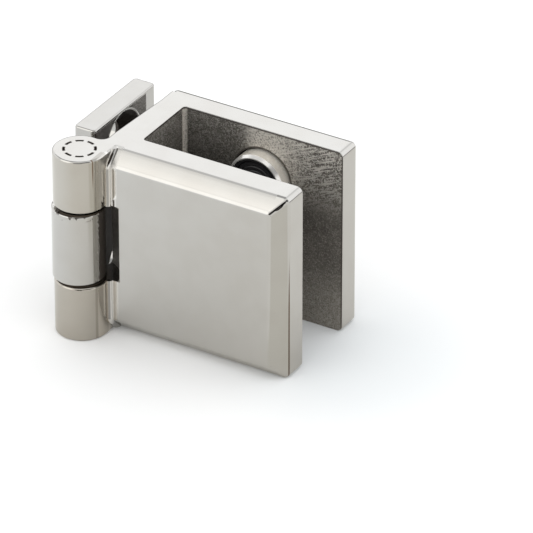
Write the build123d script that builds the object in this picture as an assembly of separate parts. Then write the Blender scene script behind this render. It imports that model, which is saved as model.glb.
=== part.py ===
from build123d import *
import math
import os

# Clamp hinge for a glass door: a cast clamp grips the pane and swings about an
# upright pin on a small cast leaf that is screwed to the cabinet side.
# Millimetres. Origin: middle of the leaf's back face, between its two screws.
# +X points from the cabinet wall along the closed door, +Y away from the pin
# along the leaf, +Z up the pin.

os.makedirs("parts", exist_ok=True)

# Driving sizes of the two castings
height = 30.0
jaw_t = 5.85
slot_w = 11.3
slot_depth = 26.7
bevel = 2.15
jaw_corner_r = 1.0
jaw_edge_r = 0.9
clamp_edge_r = 0.35
slot_corner_r = 0.5
slot_edge_r = 0.1
front_from_pin = 1.05
slot_end_from_pin = 6.4
web_front_t = 4.65
web_rear_t = 4.0

# Driving sizes of the knuckles, the pin and its washers
barrel_r = 4.0
knuckle_edge_r = 0.3
neck_blend_r = 1.2
neck_groove_r = 0.6
low_knuckle_h = 8.85
leaf_barrel_h = 11.5
end_play = 0.4
washer_t = 0.3
washer_rim = 1.35
notch_r = 5.9
notch_corner_r = 0.5
pin_r = 2.2
pin_run_gap = 0.05
washer_gap = 0.1
spline_count = 8
spline_height = 0.22
spline_ridge_deg = 14.0
spline_phase_deg = 9.5

# Driving sizes of the leaf
leaf_t = 3.6
leaf_len = 16.6
leaf_barrel_r = 3.9
leaf_barrel_back = 0.4
leaf_from_pin = 5.2
leaf_end_r = 0.6
leaf_edge_r = 0.3
leaf_root_r = 0.8
leaf_rim_r = 0.2
screw_sink_edge_r = 0.2
screw_spacing = 20.0
screw_from_pin = 13.0
screw_hole_r = 2.2
screw_sink_r = 4.5

# Driving sizes of the clamp screws and their pads
clamp_screw_spacing = 14.0
clamp_screw_in_slot = 13.2
clamp_screw_r = 2.95
thread_gap = 0.05
clamp_screw_recess = 0.5
clamp_screw_end_chamfer = 0.4
hex_socket_across = 3.0
hex_socket_depth = 2.0
swivel_r = 1.5
swivel_len = 1.1
swivel_gap = 0.1
cup_r = 4.5
cup_len = 3.6
cup_proud = 2.3
cup_lip_len = 0.5
cup_lip_taper = 0.3
cup_wall = 0.45
cup_recess = 1.2
cup_bore_gap = 0.25
cup_bore_depth = 2.4
rubber_gap = 0.05
rubber_below_rim = 0.25
rubber_groove_depth = 0.3
rubber_groove_w = 0.25
rubber_disc_r = 3.35

# Places that follow from the sizes above
top = height / 2
bottom = -height / 2
pin_x = leaf_barrel_r + leaf_barrel_back
pin_y = -screw_from_pin
front_y = pin_y + front_from_pin
slot_front_y = front_y + jaw_t
slot_rear_y = slot_front_y + slot_w
rear_y = slot_rear_y + jaw_t
slot_end_x = pin_x + slot_end_from_pin
jaw_end_x = slot_end_x + slot_depth
web_front_x = slot_end_x - web_front_t
web_rear_x = slot_end_x - web_rear_t
gap_low_z = bottom + low_knuckle_h
leaf_barrel_low_z = gap_low_z + washer_t
leaf_barrel_top_z = leaf_barrel_low_z + leaf_barrel_h
gap_top_z = leaf_barrel_top_z + washer_t + end_play
spline_r = pin_r + spline_height
leaf_near_y = pin_y + leaf_from_pin
leaf_far_y = leaf_near_y + leaf_len
washer_r = pin_r + pin_run_gap + washer_rim
clamp_screw_x = slot_end_x + clamp_screw_in_slot
cup_rim_y = slot_rear_y - cup_proud
cup_back_y = cup_rim_y + cup_len
cup_floor_y = cup_rim_y + cup_recess
cup_bore_end_y = slot_rear_y + cup_bore_depth
clamp_screw_end_y = rear_y - clamp_screw_recess
rubber_r = cup_r - cup_wall - rubber_gap
past = 1.0
place_match = 0.001
size_match = 0.01


def box(x0, x1, y0, y1, z0, z1):
    """A block given by its lowest and highest corners."""
    return Pos((x0 + x1) / 2, (y0 + y1) / 2, (z0 + z1) / 2) * Box(x1 - x0, y1 - y0, z1 - z0)


def upright(x, y, r, z0, z1):
    """A round bar along Z."""
    return Pos(x, y, (z0 + z1) / 2) * Cylinder(r, z1 - z0)


def along_y(x, z, r, y0, y1):
    """A round bar along Y."""
    return Pos(x, (y0 + y1) / 2, z) * Rot(90, 0, 0) * Cylinder(r, y1 - y0)


def along_x(y, z, r, x0, x1):
    """A round bar along X."""
    return Pos((x0 + x1) / 2, y, z) * Rot(0, 90, 0) * Cylinder(r, x1 - x0)


def edges_at(shape, axis, place):
    """The edges of a shape that lie wholly at one place along an axis."""
    return shape.edges().filter_by_position(axis, place - place_match, place + place_match)


def is_arc(edge, radius):
    """True for a round edge of that radius."""
    return edge.geom_type == GeomType.CIRCLE and abs(edge.radius - radius) < size_match


def jaw(x0, y_inside, y_outside, bevelled_left):
    """One jaw: a block with its outer face bevelled and its end corners rounded."""
    low_y = min(y_inside, y_outside)
    high_y = max(y_inside, y_outside)
    block = box(x0, jaw_end_x, low_y, high_y, bottom, top)
    rims = edges_at(block, Axis.Y, y_outside)
    if not bevelled_left:
        rims = [e for e in rims if e.center().X > x0 + place_match]
    block = chamfer(rims, bevel)
    sharp = edges_at(block, Axis.Y, y_inside)
    if not bevelled_left:
        sharp = sharp + edges_at(block, Axis.X, x0)
    block = fillet([e for e in block.edges() if e not in sharp], jaw_edge_r)
    window = box(x0 - past, jaw_end_x, low_y - past, high_y + past, bottom, top)
    window = fillet(edges_at(window, Axis.X, jaw_end_x).filter_by(Axis.Y), jaw_corner_r)
    return block & window


def knuckle_and_neck():
    """The round end of the clamp, with the neck that runs tangent from it into the body."""
    neck_right_x = pin_x + barrel_r
    neck_mid = ((web_front_x + neck_right_x) / 2, (pin_y + slot_front_y) / 2)
    with BuildSketch() as plan:
        with Locations((pin_x, pin_y)):
            Circle(barrel_r)
        with Locations(neck_mid):
            Rectangle(neck_right_x - web_front_x, slot_front_y - pin_y)
        left = [v for v in plan.vertices() if abs(v.X - web_front_x) < place_match]
        inner = [v for v in left if v.Y < slot_front_y - place_match]
        fillet(inner, neck_blend_r)
    neck = Pos(0, 0, bottom) * extrude(plan.sketch, height)
    rims = edges_at(neck, Axis.Z, top) + edges_at(neck, Axis.Z, bottom)
    neck = fillet([e for e in rims if e.center().Y < slot_front_y - place_match], clamp_edge_r)
    return round_gap_edges(neck - leaf_notch())


def leaf_notch():
    """The round space in which the leaf's knuckle turns."""
    notch = upright(pin_x, pin_y, notch_r, gap_low_z, gap_top_z)
    return fillet(notch.edges().filter_by(GeomType.CIRCLE), notch_corner_r)


def neck_groove():
    """The hollow fillet between the neck and the front jaw's face and bevels."""
    neck_x = pin_x + barrel_r
    path = FilletPolyline(
        (neck_x, front_y + bevel, bottom),
        (neck_x, front_y, bottom + bevel),
        (neck_x, front_y, top - bevel),
        (neck_x, front_y + bevel, top),
        radius=jaw_edge_r,
    )
    r = neck_groove_r
    depth = jaw_edge_r / 2
    with BuildSketch() as plan:
        with BuildLine():
            Polyline((-depth, -r), (-depth, depth), (r, depth), (r, 0))
            RadiusArc((r, 0), (0, -r), r)
            Line((0, -r), (-depth, -r))
        make_face()
    start = Plane(origin=path @ 0, x_dir=(1, 0, 0), z_dir=path % 0)
    groove = sweep(start * plan.sketch, path)
    return groove & box(pin_x, jaw_end_x, pin_y, slot_front_y, bottom, top)


def web():
    """The wall at the closed end of the slot, a little thinner towards the rear jaw."""
    with BuildSketch() as plan:
        with BuildLine():
            Polyline(
                (slot_end_x + past, slot_front_y - jaw_t / 2),
                (slot_end_x + past, slot_rear_y + jaw_t / 2),
                (web_rear_x, slot_rear_y + jaw_t / 2),
                (web_rear_x, slot_rear_y),
                (web_front_x, slot_front_y),
                (web_front_x, slot_front_y - jaw_t / 2),
                close=True,
            )
        make_face()
    wall = Pos(0, 0, bottom) * extrude(plan.sketch, height)
    rims = edges_at(wall, Axis.Z, top) + edges_at(wall, Axis.Z, bottom)
    outside = [e for e in rims if e.center().X < web_rear_x + place_match]
    return fillet(outside, clamp_edge_r)


def glass_clamp():
    """One casting: two jaws, the web between them and the two outer knuckles."""
    body = jaw(pin_x + barrel_r - past, slot_front_y, front_y, False) + jaw(web_rear_x, slot_rear_y, rear_y, True)
    body = body + web() + knuckle_and_neck() + neck_groove()
    slot = box(slot_end_x, jaw_end_x + past, slot_front_y, slot_rear_y, bottom - past, top + past)
    slot = fillet(edges_at(slot, Axis.X, slot_end_x).filter_by(Axis.Z), slot_corner_r)
    body = body - slot
    slot_edges = edges_at(body, Axis.Y, slot_front_y) + edges_at(body, Axis.Y, slot_rear_y)
    body = fillet([e for e in slot_edges if e.center().X > slot_end_x], slot_edge_r)
    body = body - leaf_notch()
    body = body - upright(pin_x, pin_y, pin_r, bottom - past, gap_low_z + past)
    body = body - upright(pin_x, pin_y, spline_r, gap_top_z - past, top + past)
    for z in clamp_screw_heights():
        body = body - along_y(clamp_screw_x, z, cup_r + cup_bore_gap, slot_rear_y - past, cup_bore_end_y)
        body = body - along_y(clamp_screw_x, z, clamp_screw_r + thread_gap, cup_bore_end_y - past, rear_y + past)
    return body


def round_gap_edges(body):
    """Softens the round edges of the two outer knuckles where they face the leaf's knuckle."""
    for z in (gap_low_z, gap_top_z):
        rims = [e for e in edges_at(body, Axis.Z, z) if is_arc(e, barrel_r)]
        if rims:
            body = fillet(rims, knuckle_edge_r)
    return body


def clamp_screw_heights():
    """The heights of the two clamp screws."""
    return (clamp_screw_spacing / 2, -clamp_screw_spacing / 2)


def leaf():
    """One casting: the screwed plate with the middle knuckle at its edge."""
    plate = box(0, leaf_t, leaf_near_y, leaf_far_y, bottom, top)
    plate = fillet(plate.edges().filter_by(Axis.Z), leaf_end_r)
    plate = fillet(edges_at(plate, Axis.Z, top) + edges_at(plate, Axis.Z, bottom), leaf_edge_r)
    root_end_y = leaf_near_y + leaf_len / 4
    with BuildSketch() as plan:
        with Locations((leaf_barrel_r, pin_y)):
            Circle(leaf_barrel_r)
        with Locations((leaf_t / 2, (pin_y + root_end_y) / 2)):
            Rectangle(leaf_t, root_end_y - pin_y)
        front = [v for v in plan.vertices() if abs(v.X - leaf_t) < place_match]
        inner = [v for v in front if v.Y < leaf_near_y]
        fillet(inner, leaf_root_r)
    barrel = Pos(0, 0, leaf_barrel_low_z) * extrude(plan.sketch, leaf_barrel_h)
    rims = edges_at(barrel, Axis.Z, leaf_barrel_low_z) + edges_at(barrel, Axis.Z, leaf_barrel_top_z)
    barrel = fillet([e for e in rims if is_arc(e, leaf_barrel_r)], leaf_rim_r)
    body = plate + barrel
    body = body - upright(pin_x, pin_y, pin_r + pin_run_gap, leaf_barrel_low_z - past, leaf_barrel_top_z + past)
    for z in (screw_spacing / 2, -screw_spacing / 2):
        body = body - along_x(0, z, screw_hole_r, -past, leaf_t + past)
        body = body - countersink(z)
    sink_edges = [e for e in edges_at(body, Axis.X, leaf_t) if is_arc(e, screw_sink_r)]
    return fillet(sink_edges, screw_sink_edge_r)


def countersink(z):
    """The cone that takes a countersunk screw head, opening away from the wall."""
    depth = screw_sink_r - screw_hole_r
    cone = Cone(screw_hole_r, screw_sink_r + past, depth + past)
    return Pos(leaf_t - depth + (depth + past) / 2, 0, z) * Rot(0, 90, 0) * cone


def hinge_pin():
    """The pin, plain in the leaf and the lower knuckle, with a splined end driven in from above."""
    pin = upright(pin_x, pin_y, pin_r, bottom, top)
    ridge_w = 2 * spline_r * math.sin(math.radians(spline_ridge_deg / 2))
    ridge_bar = Pos(spline_r / 2 + pin_r / 2, 0, 0) * Box(spline_r, ridge_w, top - gap_top_z)
    ridge_bar = ridge_bar & Cylinder(spline_r, top - gap_top_z)
    for i in range(spline_count):
        turn = spline_phase_deg + i * 360 / spline_count
        pin = pin + Pos(pin_x, pin_y, (top + gap_top_z) / 2) * Rot(0, 0, turn) * ridge_bar
    return pin


def washer(z0):
    """A thin wear washer that stands off from the pin."""
    ring = upright(pin_x, pin_y, washer_r, z0, z0 + washer_t)
    return ring - upright(pin_x, pin_y, pin_r + washer_gap, z0 - past, z0 + washer_t + past)


def clamp_screw(z):
    """A socket set screw with a swivel tip that turns in the back of its pad cup."""
    screw = along_y(clamp_screw_x, z, clamp_screw_r, cup_back_y, clamp_screw_end_y)
    screw = chamfer(edges_at(screw, Axis.Y, clamp_screw_end_y), clamp_screw_end_chamfer)
    screw = screw + along_y(clamp_screw_x, z, swivel_r, cup_back_y - swivel_len, cup_back_y + past)
    hexagon = extrude(RegularPolygon(hex_socket_across / 2, 6, major_radius=False), hex_socket_depth + past)
    socket = Pos(clamp_screw_x, clamp_screw_end_y + past, z) * Rot(90, 0, 0) * hexagon
    return screw - socket


def pad_cup(z):
    """The round cup that presses the rubber on the glass, with a tapered lip."""
    lip_end_y = cup_rim_y + cup_lip_len
    cup = along_y(clamp_screw_x, z, cup_r, lip_end_y, cup_back_y)
    lip = Cone(cup_r, cup_r - cup_lip_taper, cup_lip_len)
    cup = cup + Pos(clamp_screw_x, lip_end_y - cup_lip_len / 2, z) * Rot(90, 0, 0) * lip
    cup = cup - along_y(clamp_screw_x, z, cup_r - cup_wall, cup_rim_y - past, cup_floor_y)
    seat_end_y = cup_back_y - swivel_len - swivel_gap
    return cup - along_y(clamp_screw_x, z, swivel_r + swivel_gap, seat_end_y, cup_back_y + past)


def rubber_pad(z):
    """The rubber disc in the cup, with a groove round its middle."""
    face_y = cup_rim_y + rubber_below_rim
    disc = along_y(clamp_screw_x, z, rubber_r, face_y, cup_floor_y)
    groove_y = face_y + rubber_groove_depth
    groove = along_y(clamp_screw_x, z, rubber_disc_r + rubber_groove_w, face_y - past, groove_y)
    groove = groove - along_y(clamp_screw_x, z, rubber_disc_r, face_y - past, groove_y)
    return disc - groove


def main():
    upper, lower = clamp_screw_heights()
    pieces = {
        "glass_clamp": glass_clamp(),
        "leaf": leaf(),
        "hinge_pin": hinge_pin(),
        "upper_washer": washer(leaf_barrel_top_z),
        "lower_washer": washer(gap_low_z),
    }
    for side, z in (("upper", upper), ("lower", lower)):
        pieces[side + "_clamp_screw"] = clamp_screw(z)
        pieces[side + "_pad_cup"] = pad_cup(z)
        pieces[side + "_rubber_pad"] = rubber_pad(z)
    for name, solid in pieces.items():
        export_step(solid, "parts/" + name + ".step")


main()
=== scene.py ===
import math
from collections import namedtuple

import bpy
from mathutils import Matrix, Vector


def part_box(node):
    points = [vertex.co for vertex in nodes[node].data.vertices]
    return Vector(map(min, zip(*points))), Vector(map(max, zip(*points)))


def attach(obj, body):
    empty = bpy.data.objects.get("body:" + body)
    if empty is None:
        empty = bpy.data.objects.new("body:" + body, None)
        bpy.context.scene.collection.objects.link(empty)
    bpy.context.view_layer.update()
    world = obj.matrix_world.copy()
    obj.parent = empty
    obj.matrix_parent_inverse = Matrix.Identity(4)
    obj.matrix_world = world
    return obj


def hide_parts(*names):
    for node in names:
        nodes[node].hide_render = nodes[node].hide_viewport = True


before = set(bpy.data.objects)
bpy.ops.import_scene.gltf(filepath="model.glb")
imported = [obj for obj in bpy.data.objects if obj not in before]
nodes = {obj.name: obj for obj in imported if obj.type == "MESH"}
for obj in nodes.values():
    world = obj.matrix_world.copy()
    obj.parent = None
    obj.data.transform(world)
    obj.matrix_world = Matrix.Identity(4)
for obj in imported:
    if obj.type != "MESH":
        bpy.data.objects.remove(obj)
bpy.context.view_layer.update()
MM = 0.001

# Places on the pieces in metres, from the frame and from the part's own sizes
clamp_low, clamp_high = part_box("glass_clamp")
pin_low, pin_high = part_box("hinge_pin")
pin = (pin_low + pin_high) / 2
top = clamp_high.z
end_x = clamp_high.x
neck_x = pin.x + (pin.y - clamp_low.y)
face_y = pin.y + 1.05 * MM
bevel = 2.15 * MM
bevel_top_y = face_y + bevel
bevel_foot_z = top - bevel
slot_end_x = pin.x + 6.4 * MM
slot_front_y = face_y + 5.85 * MM
slot_rear_y = slot_front_y + 11.3 * MM
notch_r = 5.9 * MM
notch_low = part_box("lower_washer")[0].z
notch_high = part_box("upper_washer")[1].z + 0.4 * MM
plate_face_x = 3.6 * MM
sink_r = 4.5 * MM
leaf_holes = ((0, 0, 10 * MM), (0, 0, -10 * MM))
lip_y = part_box("upper_pad_cup")[0].y + 0.52 * MM

# The pin's ridges, with the first one's angle in degrees
RIDGES = 8
FIRST_RIDGE = 32

# Half the width over which a mask's edge fades
SOFT = 0.03 * MM

# Colours of the castings, and of the shade, highlights and reflections painted on them
POLISHED = (0.50, 0.495, 0.48)
HAZY = (0.485, 0.477, 0.46)
DULL = (0.10, 0.092, 0.08)
WORN = (0.19, 0.177, 0.158)
LIGHTENED_SKIN = (0.76, 0.72, 0.66)
FOOT = (0.26, 0.245, 0.22)
BARE = (0.80, 0.77, 0.72)
# Near black, for pits and for painted shade and dark reflections
NEAR_BLACK = (0.06, 0.05, 0.042)
BROWN = (0.20, 0.15, 0.11)
DARK_BROWN = (0.12, 0.085, 0.06)
BLACK = (0.03, 0.027, 0.025)
SLIVER = (0.75, 0.74, 0.72)

# Factors for painted reflections, highlights and shade, which make the polish darker or lighter on one spot
CLAMP_KNUCKLE_TONE = (0.94, 0.915, 0.87)
LEAF_KNUCKLE_TONE = (1.09, 1.09, 1.09)
LOW_KNUCKLE_TONE = (0.93, 0.91, 0.89)
FLANK_TONE = (0.76, 0.75, 0.73)
FACE_EDGE_TONE = (1.5, 1.5, 1.52)
BEVEL_FOOT_TONE = (1.17, 1.16, 1.15)
GROOVE_ROOT_TONE = (0.44, 0.44, 0.44)
GROOVE_LINE_TONE = (0.57, 0.56, 0.54)
GROOVE_EDGE_TONE = (1.28, 1.28, 1.28)
BEVEL_EDGE_TONE = (1.65, 1.65, 1.65)
BEVEL_STRIP_TONE = (0.82, 0.82, 0.82)

# Colours of the small pieces
WASHER = (0.06, 0.048, 0.038)
SCREW = (0.50, 0.48, 0.45)
CUP_PATCHES = (0.80, 0.755, 0.68)
CUP = (1.0, 0.96, 0.89)
CUP_SPECKS = (0.95, 0.92, 0.86)
CUP_LIP = (0.80, 0.79, 0.77)
RUBBER_PATCHES = (0.012, 0.012, 0.014)
RUBBER = (0.03, 0.03, 0.032)


# Node helpers: short ways to add a shader node and join it up

def add(tree, kind, **settings):
    node = tree.nodes.new(kind)
    for name, value in settings.items():
        setattr(node, name, value)
    return node


def put(node, **values):
    for name, value in values.items():
        node.inputs[name.replace("_", " ")].default_value = value
    return node


def join(tree, socket, value):
    """Links a socket to a value, or sets the socket where the value is a plain number or colour."""
    if isinstance(value, (int, float)):
        socket.default_value = value
    elif isinstance(value, tuple):
        socket.default_value = (*value, 1)
    else:
        tree.links.new(value, socket)


def maths(tree, operation, *values):
    node = add(tree, "ShaderNodeMath", operation=operation)
    for socket, value in zip(node.inputs, values):
        join(tree, socket, value)
    return node.outputs[0]


def vector_maths(tree, operation, first, second=None, result="Vector"):
    node = add(tree, "ShaderNodeVectorMath", operation=operation)
    tree.links.new(first, node.inputs[0])
    if second is not None:
        node.inputs[1].default_value = second
    return node.outputs[result]


def blend_colour(tree, amount, first, second, mode="MIX"):
    node = add(tree, "ShaderNodeMix", data_type="RGBA", blend_type=mode)
    for index, value in ((0, amount), (6, first), (7, second)):
        join(tree, node.inputs[index], value)
    return node.outputs[2]


def blend_value(tree, amount, first, second):
    node = add(tree, "ShaderNodeMix", data_type="FLOAT")
    for index, value in ((0, amount), (2, first), (3, second)):
        join(tree, node.inputs[index], value)
    return node.outputs[0]


def noise(tree, vector, scale, detail, roughness, stretch=(1, 1, 1), turn=0.0):
    """Noise, stretched along the axes after a turn about Y in degrees."""
    if turn:
        turned = add(tree, "ShaderNodeVectorRotate", rotation_type="Y_AXIS")
        put(turned, Angle=math.radians(turn))
        tree.links.new(vector, turned.inputs["Vector"])
        vector = turned.outputs[0]
    mapping = put(add(tree, "ShaderNodeMapping"), Scale=stretch)
    tree.links.new(vector, mapping.inputs["Vector"])
    node = put(add(tree, "ShaderNodeTexNoise"), Scale=scale, Detail=detail, Roughness=roughness)
    tree.links.new(mapping.outputs[0], node.inputs["Vector"])
    return node.outputs["Fac"]


def ramp(tree, value, low, high, to_low=0.0, to_high=1.0):
    """Takes a value smoothly from to_low at low to to_high at high."""
    node = add(tree, "ShaderNodeMapRange", interpolation_type="SMOOTHSTEP")
    put(node, From_Min=low, From_Max=high, To_Min=to_low, To_Max=to_high)
    tree.links.new(value, node.inputs["Value"])
    return node.outputs["Result"]


def every(tree, *masks):
    """1 where each of the masks is 1."""
    result = masks[0]
    for mask in masks[1:]:
        result = maths(tree, "MULTIPLY", result, mask)
    return result


def either(tree, first, second):
    """1 where one of two masks is 1."""
    return maths(tree, "MAXIMUM", first, second)


def above(tree, value, edge, soft=SOFT):
    return ramp(tree, value, edge - soft, edge + soft)


def below(tree, value, edge, soft=SOFT):
    return ramp(tree, value, edge + soft, edge - soft)


def between(tree, value, low, high, soft=SOFT):
    return every(tree, above(tree, value, low, soft), below(tree, value, high, soft))


# A node tree with its coordinates, whole and split
Spot = namedtuple("Spot", "tree place x y z")


def split_place(tree, place):
    split = add(tree, "ShaderNodeSeparateXYZ")
    tree.links.new(place, split.inputs[0])
    return Spot(tree, place, *split.outputs)


def from_line(spot, axis, through):
    """Distance from the line along an axis through a point."""
    across = Vector([0 if name == axis else 1 for name in "XYZ"])
    flat = vector_maths(spot.tree, "MULTIPLY", spot.place, across)
    return vector_maths(spot.tree, "DISTANCE", flat, Vector(through) * across, "Value")


# Shared effects

def new_group(name, inputs, outputs):
    """A shader node group with named float inputs and outputs and a Vector input."""
    group = bpy.data.node_groups.new(name, "ShaderNodeTree")
    group.interface.new_socket("Vector", in_out="INPUT", socket_type="NodeSocketVector")
    for socket_name, value in inputs.items():
        socket = group.interface.new_socket(socket_name, in_out="INPUT", socket_type="NodeSocketFloat")
        socket.default_value = value
    for socket_name in outputs:
        group.interface.new_socket(socket_name, in_out="OUTPUT", socket_type="NodeSocketFloat")
    return group, add(group, "NodeGroupInput").outputs, add(group, "NodeGroupOutput").inputs


def make_polish_group():
    """Hand polish: a slow wave left by the wheel and hairline marks."""
    group, given, result = new_group("hand polish", {"Wave": 1.0, "Hairline": 1.0}, ("Height", "Haze"))
    wave = noise(group, given["Vector"], 90.0, 1.0, 0.4)
    hairline = noise(group, given["Vector"], 900.0, 3.0, 0.6, (0.15, 1, 1))
    smear = noise(group, given["Vector"], 240.0, 3.0, 0.5)
    waves = maths(group, "MULTIPLY", wave, given["Wave"])
    lines = maths(group, "MULTIPLY", hairline, given["Hairline"])
    group.links.new(maths(group, "MULTIPLY_ADD", lines, 0.004, waves), result["Height"])
    group.links.new(ramp(group, smear, 0.35, 0.7), result["Haze"])
    return group


def make_cast_group():
    """Rough as-cast skin: sandy grain with pits, lumps, slanting file marks and slow patches."""
    group, given, result = new_group(
        "as cast skin", {"Grain": 4700.0, "Marks": 1.0, "Coarse": 0.0},
        ("Height", "Patches", "Specks", "Pits"))
    place = given["Vector"]
    fine = put(add(group, "ShaderNodeTexNoise"), Detail=3.0, Roughness=0.8)
    group.links.new(place, fine.inputs["Vector"])
    group.links.new(given["Grain"], fine.inputs["Scale"])
    grain = fine.outputs["Fac"]
    marks = noise(group, place, 4200.0, 2.0, 0.6, (0.07, 1, 1), 23.0)
    areas = noise(group, place, 300.0, 2.0, 0.5, (0.4, 1, 1), 23.0)
    lumps = noise(group, place, 3600.0, 1.0, 0.6)
    patches = noise(group, place, 150.0, 3.0, 0.6, (0.5, 1, 1))
    streak = every(group, ramp(group, marks, 0.54, 0.58), ramp(group, areas, 0.30, 0.44), given["Marks"])
    lump = every(group, ramp(group, lumps, 0.57, 0.63), given["Coarse"])
    hollow = every(group, ramp(group, lumps, 0.44, 0.38), given["Coarse"])
    raised = either(group, streak, lump)
    group.links.new(maths(group, "MULTIPLY_ADD", raised, 0.6, grain), result["Height"])
    group.links.new(ramp(group, patches, 0.35, 0.68), result["Patches"])
    group.links.new(either(group, ramp(group, grain, 0.51, 0.62), raised), result["Specks"])
    group.links.new(either(group, ramp(group, grain, 0.46, 0.37), hollow), result["Pits"])
    return group


polish_group = make_polish_group()
cast_group = make_cast_group()


def start_material(name):
    """A material with a Principled shader, and its Object coordinates."""
    material = bpy.data.materials.new(name)
    material.use_nodes = True
    tree = material.node_tree
    tree.nodes.clear()
    output = add(tree, "ShaderNodeOutputMaterial")
    shader = add(tree, "ShaderNodeBsdfPrincipled")
    tree.links.new(shader.outputs["BSDF"], output.inputs["Surface"])
    place = add(tree, "ShaderNodeTexCoord").outputs["Object"]
    return material, shader, split_place(tree, place)


def use_group(spot, group, **values):
    """A shared effect at the material's place, with its other inputs set or linked."""
    node = add(spot.tree, "ShaderNodeGroup", node_tree=group)
    for name, value in {"Vector": spot.place, **values}.items():
        join(spot.tree, node.inputs[name], value)
    return node.outputs


def finish(spot, shader, colour, roughness, height, depth):
    """Links a material's colour, roughness and relief to its shader."""
    relief = put(add(spot.tree, "ShaderNodeBump"), Strength=1.0, Distance=depth)
    join(spot.tree, relief.inputs["Height"], height)
    join(spot.tree, shader.inputs["Base Color"], colour)
    join(spot.tree, shader.inputs["Roughness"], roughness)
    join(spot.tree, shader.inputs["Normal"], relief.outputs["Normal"])


# Masks on the clamp: 1 on the named spot, 0 elsewhere

def slot_mask(spot):
    """The as-cast walls inside the glass slot."""
    tree = spot.tree
    return every(tree, between(tree, spot.x, slot_end_x - 0.08 * MM, end_x - 0.04 * MM),
                 between(tree, spot.y, slot_front_y - 0.02 * MM, slot_rear_y + 0.02 * MM),
                 below(tree, spot.z, top - 0.04 * MM))


def rear_wall_mask(spot):
    """All that lies near the rear jaw's inner wall or behind it."""
    return above(spot.tree, spot.y, slot_rear_y - 0.7 * MM)


def slot_edge_shade_mask(spot):
    """Painted shade: the thin dark line inside the slot's upper and end edges, and the dark rings round the
    two cups.
    """
    tree = spot.tree
    edges = either(tree, above(tree, spot.z, top - 0.3 * MM, 0.06 * MM),
                   above(tree, spot.x, end_x - 0.28 * MM, 0.06 * MM))
    for cup in ("upper_pad_cup", "lower_pad_cup"):
        low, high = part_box(cup)
        away = from_line(spot, "Y", (low + high) / 2)
        ring = every(tree, below(tree, away, 4.97 * MM), rear_wall_mask(spot))
        edges = either(tree, edges, ring)
    return edges


def lightened_wall_mask(spot):
    """The upper middle of the rear jaw's inner wall, which is made lighter."""
    tree = spot.tree
    return every(tree, rear_wall_mask(spot), ramp(tree, spot.x, 20 * MM, 23 * MM),
                 ramp(tree, spot.x, 33 * MM, 25 * MM, 0.02, 1.0), ramp(tree, spot.z, 4 * MM, 13 * MM))


def corner_reflection_mask(spot):
    """The rounded inner corner at the slot's closed end, which gets a lighter painted reflection."""
    tree = spot.tree
    return every(tree, above(tree, spot.x, slot_end_x - 0.1 * MM),
                 below(tree, spot.x, slot_end_x + 0.55 * MM, 0.08 * MM),
                 above(tree, spot.y, slot_rear_y - 0.55 * MM, 0.08 * MM))


def notch_mask(spot):
    """The round notch where the leaf's knuckle turns."""
    tree = spot.tree
    return every(tree, below(tree, from_line(spot, "Z", pin), notch_r + 0.03 * MM),
                 between(tree, spot.z, notch_low + 0.03 * MM, notch_high - 0.03 * MM))


def dash_mask(spot):
    """The painted shade in the gaps between the pin's ridges on the knuckle's top."""
    tree = spot.tree
    across = maths(tree, "SUBTRACT", spot.x, pin.x)
    along = maths(tree, "SUBTRACT", spot.y, pin.y)
    turn = maths(tree, "ARCTAN2", along, across)
    beat = maths(tree, "MULTIPLY_ADD", turn, RIDGES, -RIDGES * math.radians(FIRST_RIDGE))
    ring = between(tree, from_line(spot, "Z", pin), 2.06 * MM, 2.52 * MM)
    return every(tree, ring, ramp(tree, maths(tree, "COSINE", beat), -0.6, -0.3),
                 above(tree, spot.z, top - 0.1 * MM))


def hollow_mask(spot):
    """The strip of the front face beside the hollow, where a painted highlight fades to the right."""
    tree = spot.tree
    return every(tree, below(tree, spot.y, face_y + 0.25 * MM, 0.1 * MM),
                 above(tree, spot.x, neck_x - 0.3 * MM), ramp(tree, spot.x, neck_x + 1.5 * MM, neck_x + MM))


def groove_masks(spot):
    """Bands of painted reflection and shade along the hollow beside the face: dark root, thin dark line,
    bright edge and a dark dot.
    """
    tree = spot.tree
    # Each band stands upright, at its own value of X plus this share of Y
    lean = 0.618
    seen = maths(tree, "MULTIPLY_ADD", spot.y, lean, spot.x)
    start = neck_x + lean * face_y
    reach = bevel_foot_z - 0.25 * MM
    near = every(tree, between(tree, spot.y, face_y - 0.8 * MM, face_y + 0.1 * MM),
                 above(tree, spot.x, neck_x - 0.2 * MM), below(tree, spot.z, reach, 0.2 * MM),
                 above(tree, spot.z, -reach))
    root = every(tree, near, between(tree, seen, start - 0.245 * MM, start + 0.205 * MM, 0.06 * MM))
    line = every(tree, near, between(tree, seen, start + 0.855 * MM, start + 1.135 * MM, 0.05 * MM))
    edge = every(tree, near, above(tree, seen, start + 1.135 * MM, 0.05 * MM),
                 below(tree, seen, start + 1.505 * MM, 0.1 * MM))
    over_notch = above(tree, spot.z, notch_high + 1.35 * MM, 0.2 * MM)
    under_notch = below(tree, spot.z, notch_low + 0.15 * MM)
    dot = every(tree, line, between(tree, spot.z, notch_high - 0.15 * MM, notch_high + 1.15 * MM, 0.2 * MM))
    return root, every(tree, line, over_notch), every(tree, edge, either(tree, over_notch, under_notch)), dot


def root_stroke_mask(spot):
    """The dark stroke of painted reflection in the hollow where it runs up over the top bevel, thinner at
    its ends.
    """
    tree = spot.tree
    foot = bevel_foot_z + 0.05 * MM
    half = maths(tree, "MULTIPLY", ramp(tree, spot.z, foot, foot + 0.6 * MM, 0.0, 0.15 * MM),
                 ramp(tree, spot.z, top - 0.1 * MM, top - 0.7 * MM))
    away = maths(tree, "ABSOLUTE", maths(tree, "SUBTRACT", spot.x, neck_x + 0.32 * MM))
    return every(tree, below(tree, maths(tree, "SUBTRACT", away, half), 0.0),
                 below(tree, spot.y, bevel_top_y + 0.2 * MM), above(tree, spot.z, foot))


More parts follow.
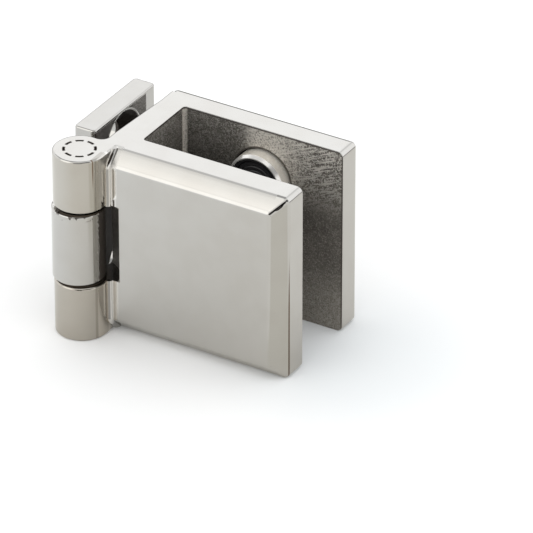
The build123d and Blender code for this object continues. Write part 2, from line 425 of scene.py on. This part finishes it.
def blurred_root_mask(spot):
    """The hollow where it runs up over the top bevel, which is less sharply polished."""
    tree = spot.tree
    return every(tree, above(tree, spot.x, neck_x - 0.2 * MM),
                 below(tree, spot.x, neck_x + 1.4 * MM, 0.2 * MM),
                 above(tree, spot.z, bevel_foot_z - 0.45 * MM, 0.3 * MM),
                 below(tree, spot.y, bevel_top_y + 0.5 * MM))


def bevel_glow_mask(spot):
    """The rounded foot of the front jaw's top bevel, which gets a painted highlight brighter than its upper
    part.
    """
    tree = spot.tree
    return every(tree, above(tree, spot.x, neck_x + 1.2 * MM, 0.5 * MM),
                 below(tree, spot.x, end_x - 1.4 * MM, 0.6 * MM),
                 below(tree, spot.y, bevel_top_y - 0.1 * MM, 0.2 * MM),
                 above(tree, spot.z, bevel_foot_z + 0.3 * MM, 0.2 * MM),
                 ramp(tree, spot.z, top - 0.4 * MM, bevel_foot_z + 0.25 * MM))


def bevel_edge_masks(spot):
    """The rounded upper edge of the front jaw's top bevel, which gets a painted highlight, and the strip of
    the bevel just below it, which gets painted shade.
    """
    tree = spot.tree
    away = from_line(spot, "X", (0, bevel_top_y, top))
    reach = between(tree, spot.x, neck_x + 0.2 * MM, end_x - bevel + 0.05 * MM)
    edge = every(tree, reach, below(tree, away, 0.18 * MM, 0.05 * MM))
    strip = every(tree, reach, above(tree, away, 0.18 * MM, 0.05 * MM), ramp(tree, away, 0.9 * MM, 0.2 * MM),
                  below(tree, spot.z, top - 0.1 * MM), below(tree, spot.y, bevel_top_y))
    return edge, strip


def end_line_mask(spot):
    """The thin brown line of painted dark reflection on the rounded edge between the right bevel and the
    jaw's end.
    """
    tree = spot.tree
    away = from_line(spot, "Z", (end_x - 0.069 * MM, bevel_top_y + 0.029 * MM, 0))
    reach = ramp(tree, spot.z, 9 * MM, -4 * MM, -0.03 * MM, 0.12 * MM)
    return below(tree, maths(tree, "SUBTRACT", away, reach), 0.0)


def mitre_masks(spot):
    """The dark stroke of painted reflection beside the mitre of the front jaw's bevels, and the painted
    bright sliver in it.
    """
    tree = spot.tree
    inset = maths(tree, "SUBTRACT", end_x, spot.x)
    past = maths(tree, "SUBTRACT", maths(tree, "SUBTRACT", top, spot.z), inset)
    front = below(tree, spot.y, bevel_top_y - 0.1 * MM)
    width = maths(tree, "MULTIPLY", ramp(tree, inset, 0.35 * MM, 0.85 * MM, 0.0, 0.48 * MM),
                  ramp(tree, inset, 1.95 * MM, 1.1 * MM))
    stroke = every(tree, front, above(tree, past, -0.14 * MM),
                   below(tree, maths(tree, "SUBTRACT", past, width), 0.0), above(tree, width, 0.05 * MM))
    sliver = every(tree, front, between(tree, past, 0.10 * MM, 0.20 * MM),
                   between(tree, inset, 0.9 * MM, 1.75 * MM))
    return stroke, sliver


# Masks on the knuckles and the leaf

def knuckle_masks(spot):
    """The polish round the pin below the knuckle's top, and its part on the lower knuckle."""
    tree = spot.tree
    around_pin = every(tree, below(tree, from_line(spot, "Z", pin), 4.3 * MM, 0.2 * MM),
                       below(tree, spot.z, top - 0.2 * MM))
    return around_pin, every(tree, around_pin, below(tree, spot.z, notch_low + 0.25 * MM))


def flank_masks(spot):
    """The flank of the knuckles beside the face, painted greyer as a reflection, and the painted brown
    reflected line along its edge.
    """
    tree = spot.tree
    edge_y = pin.y - 2 * MM
    side = every(tree, between(tree, spot.x, neck_x - 0.9 * MM, neck_x + 0.1 * MM),
                 below(tree, spot.y, face_y - 0.25 * MM, 0.2 * MM))
    flank = every(tree, side, above(tree, spot.y, edge_y + 0.1 * MM, 0.08 * MM))
    width = ramp(tree, spot.z, 8 * MM, 14 * MM, -0.03 * MM, 0.09 * MM)
    away = maths(tree, "ABSOLUTE", maths(tree, "SUBTRACT", spot.y, edge_y))
    return flank, every(tree, side, below(tree, maths(tree, "SUBTRACT", away, width), 0.0))


def rim_reflection_mask(spot):
    """Painted dark reflections along the upper rim of the leaf's knuckle."""
    tree = spot.tree
    dark_reflections = ramp(tree, noise(tree, spot.place, 1500.0, 2.0, 0.5), 0.56, 0.60, 0.0, 0.85)
    return every(tree, dark_reflections, ramp(tree, spot.z, 4.6 * MM, 5.2 * MM), below(tree, spot.y, pin.y))


def hidden_knuckle_mask(spot):
    """The side of the leaf's knuckle that hides in the notch, with a ragged edge."""
    tree = spot.tree
    waver = noise(tree, spot.place, 1800.0, 3.0, 0.6)
    ragged = maths(tree, "MULTIPLY_ADD", waver, 1.2 * MM, spot.y)
    return every(tree, above(tree, spot.x, pin.x + 1.2 * MM),
                 above(tree, ragged, pin.y - 0.1 * MM, 0.08 * MM))


# Polish

def polish_all_over(spot, shade=1.0):
    """The polish before any spot is toned: its colour, hazier in patches, its roughness and its relief."""
    tree = spot.tree
    polish = use_group(spot, polish_group, Wave=1.0, Hairline=1.0)
    clear, hazy = (tuple(part * shade for part in colour) for colour in (POLISHED, HAZY))
    bright = blend_colour(tree, polish["Haze"], clear, hazy)
    gloss = maths(tree, "MULTIPLY_ADD", polish["Haze"], 0.03, 0.05)
    return bright, gloss, maths(tree, "MULTIPLY", polish["Height"], 0.009)


def paint_spots(tree, colour, *spots):
    """Blends spots over a colour one after another, each given as mask, colour and way of blending."""
    for mask, paint, mode in spots:
        colour = blend_colour(tree, mask, colour, paint, mode)
    return colour


def knuckle_polish(spot, bright, tone):
    """The polish on the knuckles with painted reflections: their tone, the lower one's and the grey flank
    with its brown line.
    """
    around_pin, low_knuckle = knuckle_masks(spot)
    flank, flank_line = flank_masks(spot)
    return paint_spots(
        spot.tree, bright,
        (around_pin, tone, "MULTIPLY"),
        (low_knuckle, LOW_KNUCKLE_TONE, "MULTIPLY"),
        (flank, FLANK_TONE, "MULTIPLY"),
        (flank_line, BROWN, "MIX"))


def clamp_polish(spot, bright):
    """The polish on the clamp, with the painted reflections, highlights and shade that its knuckles, bevels,
    hollow and edges show.
    """
    root, line, edge, dot = groove_masks(spot)
    bevel_edge, strip = bevel_edge_masks(spot)
    stroke, sliver = mitre_masks(spot)
    return paint_spots(
        spot.tree, knuckle_polish(spot, bright, CLAMP_KNUCKLE_TONE),
        (hollow_mask(spot), FACE_EDGE_TONE, "MULTIPLY"),
        (bevel_glow_mask(spot), BEVEL_FOOT_TONE, "MULTIPLY"),
        (root, GROOVE_ROOT_TONE, "MULTIPLY"),
        (line, GROOVE_LINE_TONE, "MULTIPLY"),
        (edge, GROOVE_EDGE_TONE, "MULTIPLY"),
        (dot, NEAR_BLACK, "MIX"),
        (root_stroke_mask(spot), NEAR_BLACK, "MIX"),
        (bevel_edge, BEVEL_EDGE_TONE, "MULTIPLY"),
        (strip, BEVEL_STRIP_TONE, "MULTIPLY"),
        (end_line_mask(spot), DARK_BROWN, "MIX"),
        (stroke, BLACK, "MIX"),
        (sliver, SLIVER, "MIX"),
        (dash_mask(spot), NEAR_BLACK, "MIX"))


def leaf_polish(spot, bright):
    """The polish on the leaf, with painted dark reflections along its knuckle's upper rim."""
    bright = knuckle_polish(spot, bright, LEAF_KNUCKLE_TONE)
    return blend_colour(spot.tree, rim_reflection_mask(spot), bright, NEAR_BLACK)


# As-cast skin: where it shows, where painted shade darkens it, and where it is made lighter

def clamp_skin(spot):
    """The slot is as cast with painted shade along its edges and round the cups, and the notch is as cast
    and dark, with a little painted light.
    """
    tree = spot.tree
    slot = slot_mask(spot)
    notch = notch_mask(spot)
    # Painted shade along the slot's edges and round the cups
    dark = every(tree, slot, slot_edge_shade_mask(spot))
    # The rear wall's upper middle is made lighter, and the notch gets a little painted light
    lightened = either(tree, lightened_wall_mask(spot), maths(tree, "MULTIPLY", notch, 0.35))
    return either(tree, slot, notch), dark, lightened


def leaf_skin(spot):
    """The knuckle's side in the notch, the plate's inner face and its countersinks are as cast, with painted
    shade, heavier towards the knuckle and full in the countersinks.
    """
    tree = spot.tree
    inner = between(tree, spot.z, 0.4 * MM - top, top - 0.4 * MM)
    plate = every(tree, inner, above(tree, spot.x, plate_face_x - 0.2 * MM), above(tree, spot.y, -9.2 * MM),
                  below(tree, spot.y, 6.2 * MM, 0.15 * MM))
    from_hole = maths(tree, "MINIMUM", *(from_line(spot, "X", hole) for hole in leaf_holes))
    rim = every(tree, between(tree, from_hole, sink_r - 0.06 * MM, sink_r + 0.24 * MM),
                above(tree, spot.x, plate_face_x - 0.4 * MM))
    sink = every(tree, inner, below(tree, from_hole, sink_r - 0.06 * MM), above(tree, spot.x, 0.8 * MM),
                 above(tree, spot.y, 1.5 * MM))
    skin = either(tree, either(tree, hidden_knuckle_mask(spot), plate), sink)
    skin = every(tree, skin, maths(tree, "SUBTRACT", 1.0, rim))
    # Painted shade: heavier towards the knuckle, and full in the countersinks
    dark = either(tree, ramp(tree, spot.y, 3.6 * MM, 1.5 * MM, 0.2, 0.95), sink)
    return skin, every(tree, skin, dark), None


def skin_colour(spot, cast, dark, lightened):
    """The as-cast metal: worn patches, lightened places, a painted reflection in the slot's inner corner, a
    darker middle, a lighter foot, pits, specks and painted shade.
    """
    tree = spot.tree
    dull = blend_colour(tree, cast["Patches"], DULL, WORN)
    if lightened is not None:
        dull = blend_colour(tree, lightened, dull, LIGHTENED_SKIN)
    middle = every(tree, ramp(tree, spot.z, 7 * MM, -1 * MM, 0.0, 0.32),
                   ramp(tree, spot.z, -9 * MM, -3 * MM))
    dull = blend_colour(tree, middle, dull, NEAR_BLACK)
    dull = blend_colour(tree, ramp(tree, spot.z, -4 * MM, -11 * MM, 0.0, 0.8), dull, FOOT)
    # Painted reflection: the rounded inner corner is lighter
    dull = blend_colour(tree, corner_reflection_mask(spot), dull, LIGHTENED_SKIN)
    dull = blend_colour(tree, maths(tree, "MULTIPLY", cast["Pits"], 0.7), dull, NEAR_BLACK)
    shine = every(tree, cast["Specks"], ramp(tree, spot.z, 3 * MM, 14 * MM, 0.22, 0.85),
                  ramp(tree, spot.x, 16 * MM, 28 * MM, 0.6, 1.0))
    dull = blend_colour(tree, shine, dull, BARE)
    # Painted shade where the skin lies dark
    return blend_colour(tree, dark, dull, NEAR_BLACK)


# Materials

def polished_casting(name, shade, tone_polish, find_skin):
    """Mirror polish outside and as-cast skin where the wheel doesn't reach."""
    material, shader, spot = start_material(name)
    tree = spot.tree
    # File marks and lumps show most at the upper right
    worked = every(tree, ramp(tree, spot.z, 2 * MM, 8 * MM), ramp(tree, spot.x, 19 * MM, 25 * MM, 0.25, 1.0))
    cast = use_group(spot, cast_group, Grain=4700.0, Marks=worked, Coarse=worked)
    bright, gloss, waves = polish_all_over(spot, shade)
    gloss = maths(tree, "MULTIPLY_ADD", blurred_root_mask(spot), 0.25, gloss)
    rough = maths(tree, "MULTIPLY_ADD", cast["Patches"], 0.1, 0.42)
    skin, dark, lightened = find_skin(spot)
    colour = blend_colour(tree, skin, tone_polish(spot, bright), skin_colour(spot, cast, dark, lightened))
    roughness = blend_value(tree, skin, gloss, rough)
    finish(spot, shader, colour, roughness, blend_value(tree, skin, waves, cast["Height"]), 0.12 * MM)
    tree.links.new(maths(tree, "MULTIPLY_ADD", skin, -0.45, 1.0), shader.inputs["Metallic"])
    return material


def polished_pin():
    """The pin, polished all over, with the painted shade of the dashes that run on over its top and a
    browner painted reflection on its lower end.
    """
    material, shader, spot = start_material("polished pin steel")
    bright, gloss, waves = polish_all_over(spot)
    lower_end = knuckle_masks(spot)[1]
    bright = paint_spots(
        spot.tree, bright,
        (lower_end, LOW_KNUCKLE_TONE, "MULTIPLY"),
        (dash_mask(spot), NEAR_BLACK, "MIX"))
    finish(spot, shader, bright, gloss, waves, 0.12 * MM)
    put(shader, Metallic=1.0)
    return material


def turned_steel(name, colour, roughness, grain):
    """Plain turned or rolled steel with a fine grain."""
    material, shader, spot = start_material(name)
    cast = use_group(spot, cast_group, Grain=grain, Marks=0.2)
    darker = tuple(part * 0.7 for part in colour)
    tint = blend_colour(spot.tree, cast["Patches"], darker, colour)
    rough = maths(spot.tree, "MULTIPLY_ADD", cast["Specks"], 0.15, roughness)
    finish(spot, shader, tint, rough, cast["Height"], 0.01 * MM)
    put(shader, Metallic=1.0)
    return material


def blasted_cup():
    """Blasted steel with a bright turned lip."""
    material, shader, spot = start_material("blasted cup steel")
    tree = spot.tree
    cast = use_group(spot, cast_group, Grain=3000.0, Marks=0.1)
    blasted = above(tree, spot.y, lip_y)
    tint = blend_colour(tree, cast["Patches"], CUP_PATCHES, CUP)
    tint = blend_colour(tree, cast["Specks"], tint, CUP_SPECKS)
    tint = blend_colour(tree, blasted, CUP_LIP, tint)
    rough = maths(tree, "MULTIPLY_ADD", blasted, 0.22, 0.18)
    finish(spot, shader, tint, rough, every(tree, cast["Height"], blasted), 0.06 * MM)
    put(shader, Metallic=0.6)
    return material


def black_rubber():
    material, shader, spot = start_material("black moulded rubber")
    cast = use_group(spot, cast_group, Grain=3200.0, Marks=0.1)
    tint = blend_colour(spot.tree, cast["Patches"], RUBBER_PATCHES, RUBBER)
    rough = maths(spot.tree, "MULTIPLY_ADD", cast["Specks"], 0.2, 0.42)
    finish(spot, shader, tint, rough, cast["Height"], 0.02 * MM)
    return material


def dress(material, *names):
    """Gives CAD nodes a finish."""
    for name in names:
        mesh = nodes[name].data
        mesh.materials.clear()
        mesh.materials.append(material)


dress(polished_casting("polished clamp casting", 1.0, clamp_polish, clamp_skin), "glass_clamp")
# The leaf's polish is painted darker overall, standing in for the darker surroundings that it mirrors
dress(polished_casting("polished leaf casting", 0.91, leaf_polish, leaf_skin), "leaf")
dress(polished_pin(), "hinge_pin")
dress(turned_steel("rolled washer steel", WASHER, 0.4, 2000.0), "upper_washer", "lower_washer")
dress(blasted_cup(), "upper_pad_cup", "lower_pad_cup")
dress(turned_steel("turned screw steel", SCREW, 0.25, 1500.0), "upper_clamp_screw", "lower_clamp_screw")
rubber = black_rubber()


# Rubber discs: how far each ring steps in, and how far its face then moves into the disc
RINGS = (
    (0.40, 0.00), (0.03, 0.28), (0.22, 0.00), (0.03, -0.28),
    (0.30, 0.00), (0.10, 0.10), (0.16, 0.00), (0.10, -0.10),
    (0.34, 0.00), (0.10, 0.10), (0.16, 0.00), (0.10, -0.10),
    (0.34, 0.00), (0.10, 0.10), (0.16, 0.00), (0.10, -0.10),
)


def ridged_pad(name, body):
    """A rubber disc with a lip, a groove round it and low rings, in place of the plain disc."""
    low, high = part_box(name)
    bpy.ops.object.select_all(action="DESELECT")
    bpy.ops.mesh.primitive_cylinder_add(
        vertices=96, radius=(high.x - low.x) / 2, depth=high.y - low.y, location=(low + high) / 2,
        rotation=(math.radians(90), 0, 0))
    pad = bpy.context.object
    pad.name = name.replace("rubber", "ridged")
    bpy.ops.object.transform_apply(location=True, rotation=True, scale=True)
    bpy.ops.object.mode_set(mode="EDIT")
    bpy.ops.mesh.select_mode(type="FACE")
    bpy.ops.mesh.select_all(action="DESELECT")
    bpy.ops.object.mode_set(mode="OBJECT")
    for polygon in pad.data.polygons:
        polygon.select = polygon.normal.y < -0.9
    bpy.ops.object.mode_set(mode="EDIT")
    for step, sink in RINGS:
        bpy.ops.mesh.inset(thickness=step * MM)
        bpy.ops.transform.translate(value=(0, sink * MM, 0))
    bpy.ops.mesh.select_all(action="SELECT")
    bpy.ops.mesh.normals_make_consistent(inside=False)
    bpy.ops.object.mode_set(mode="OBJECT")
    bpy.ops.object.shade_smooth_by_angle(angle=math.radians(30))
    pad.data.materials.append(rubber)
    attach(pad, body)
    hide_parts(name)


ridged_pad("upper_rubber_pad", "upper_pad")
ridged_pad("lower_rubber_pad", "lower_pad")


# Studio: pale floor, a soft bright dome and the camera

# Paper colours: as the camera sees it, plain and with a painted shadow beside the hinge, and as the metal
# mirrors it, with painted light and shade
PAPER = (0.93, 0.93, 0.93)
PAPER_SHADOW = (0.83, 0.85, 0.86)
MIRRORED_LEFT = (0.97, 0.975, 0.97)
MIRRORED_RIGHT = (0.86, 0.84, 0.80)
MIRRORED_BEHIND = (0.22, 0.21, 0.2)
OFF_ENDS_TONE = (0.86, 0.85, 0.82)

# The way from the jaws' ends over the paper that they mirror, and the way across it
OUT = Vector((0.857, -0.514, 0))
ASIDE = Vector((0.514, 0.857, 0))


def mirrored_paper(spot):
    """The paper as the metal mirrors it, with painted light and shade: warmer to the right, greyer off the
    jaws' ends, dark far behind.
    """
    tree = spot.tree
    side = maths(tree, "MULTIPLY_ADD", spot.y, -0.3, spot.x)
    paper = blend_colour(tree, ramp(tree, side, -30 * MM, 45 * MM), MIRRORED_LEFT, MIRRORED_RIGHT)
    out = vector_maths(tree, "DOT_PRODUCT", spot.place, OUT, "Value")
    aside = vector_maths(tree, "DOT_PRODUCT", spot.place, ASIDE, "Value")
    aside = maths(tree, "ABSOLUTE", maths(tree, "SUBTRACT", aside, 9.1 * MM))
    off_ends = every(tree, ramp(tree, out, 32.5 * MM, 42.5 * MM), ramp(tree, aside, 14 * MM, 6 * MM))
    paper = blend_colour(tree, off_ends, paper, OFF_ENDS_TONE, "MULTIPLY")
    reach = vector_maths(tree, "LENGTH", spot.place, result="Value")
    far_behind = every(tree, ramp(tree, spot.y, 0.0, 0.15), ramp(tree, reach, 0.12, 0.4))
    return blend_colour(tree, far_behind, paper, MIRRORED_BEHIND)


def white_floor():
    """White paper, with a painted shadow that makes it a little greyer to the right of the hinge."""
    bpy.ops.mesh.primitive_plane_add(size=4.0, location=(0, 0, clamp_low.z))
    floor = bpy.context.object
    floor.name = "floor"
    material, shader, spot = start_material("white paper floor")
    put(shader, Roughness=0.9, Specular_IOR_Level=0.0)
    seen = add(spot.tree, "ShaderNodeLightPath").outputs["Is Camera Ray"]
    # Painted shadow: greyer paper round a spot to the right of the hinge
    beside = ramp(spot.tree, from_line(spot, "Z", (45 * MM, 0, 0)), 28 * MM, 6 * MM)
    paper = blend_colour(spot.tree, beside, PAPER, PAPER_SHADOW)
    colour = blend_colour(spot.tree, seen, mirrored_paper(spot), paper)
    spot.tree.links.new(colour, shader.inputs["Base Color"])
    floor.data.materials.append(material)


# Soft lights and dark gaps of the tent: direction, half angle of the core, half angle of the edge, strength
TENT = (
    ((-0.42, 0.12, 0.90), 22, 40, 0.58),
    ((-0.44, 0.735, 0.515), 14, 27, 1.64),
    ((-0.44, -0.515, 0.735), 12, 26, 1.58),
    ((-0.44, -0.82, 0.36), 16, 28, 1.98),
    ((0.60, 0.70, 0.40), 16, 34, 1.55),
    ((-0.95, 0.05, 0.25), 20, 40, 1.35),
    ((-0.47, 0.86, 0.17), 9, 16, 0.30),
    ((0.38, -0.88, 0.24), 14, 22, 0.07),
    ((0.69, -0.39, 0.61), 13, 26, 0.12),
)
TENT_STRENGTH = 1.15
DIFFUSE_STRENGTH = 1.22
WHITE = (1.0, 1.0, 1.0)
FRONT_TINT = (1.0, 0.985, 0.95)
DIFFUSE_TINT = (0.985, 0.995, 1.0)


def soft_dome():
    """A white tent seen in the metal: soft lights at the back and left, dark where the camera stands."""
    world = bpy.data.worlds.new("white tent")
    bpy.context.scene.world = world
    world.use_nodes = True
    tree = world.node_tree
    tree.nodes.clear()
    output = add(tree, "ShaderNodeOutputWorld")
    sky = add(tree, "ShaderNodeBackground")
    tree.links.new(sky.outputs[0], output.inputs[0])
    way = split_place(tree, add(tree, "ShaderNodeTexCoord").outputs["Generated"])
    low_light = ramp(tree, way.y, -0.2, 0.5, 1.2, 0.15)
    strength = blend_value(tree, ramp(tree, way.z, 0.02, 0.22), low_light, TENT_STRENGTH)
    for direction, core, edge, level in TENT:
        near = vector_maths(tree, "DOT_PRODUCT", way.place, Vector(direction).normalized(), "Value")
        patch = ramp(tree, near, math.cos(math.radians(edge)), math.cos(math.radians(core)))
        strength = blend_value(tree, patch, strength, level)
    diffuse = add(tree, "ShaderNodeLightPath").outputs["Is Diffuse Ray"]
    tree.links.new(blend_value(tree, diffuse, strength, DIFFUSE_STRENGTH), sky.inputs["Strength"])
    tint = blend_colour(tree, ramp(tree, way.y, -0.6, 0.2), FRONT_TINT, WHITE)
    tint = blend_colour(tree, diffuse, tint, DIFFUSE_TINT)
    tree.links.new(tint, sky.inputs["Color"])


# The camera as fitted to the photo: place and lens in millimetres, angles in degrees
EYE = (433.608, -678.092, 470.627)
LOOKS_DOWN = 30.997
TURNED_LEFT = 30.904
LENS = 430.74
SENSOR = 36.0


def camera():
    data = bpy.data.cameras.new("camera")
    eye = bpy.data.objects.new("camera", data)
    bpy.context.collection.objects.link(eye)
    data.sensor_width = SENSOR
    data.lens = LENS
    data.clip_end = 20.0
    eye.location = [part * MM for part in EYE]
    eye.rotation_euler = (math.radians(90 - LOOKS_DOWN), 0, math.radians(TURNED_LEFT))
    bpy.context.scene.camera = eye


white_floor()
soft_dome()
camera()
bpy.context.scene.view_settings.view_transform = "Standard"
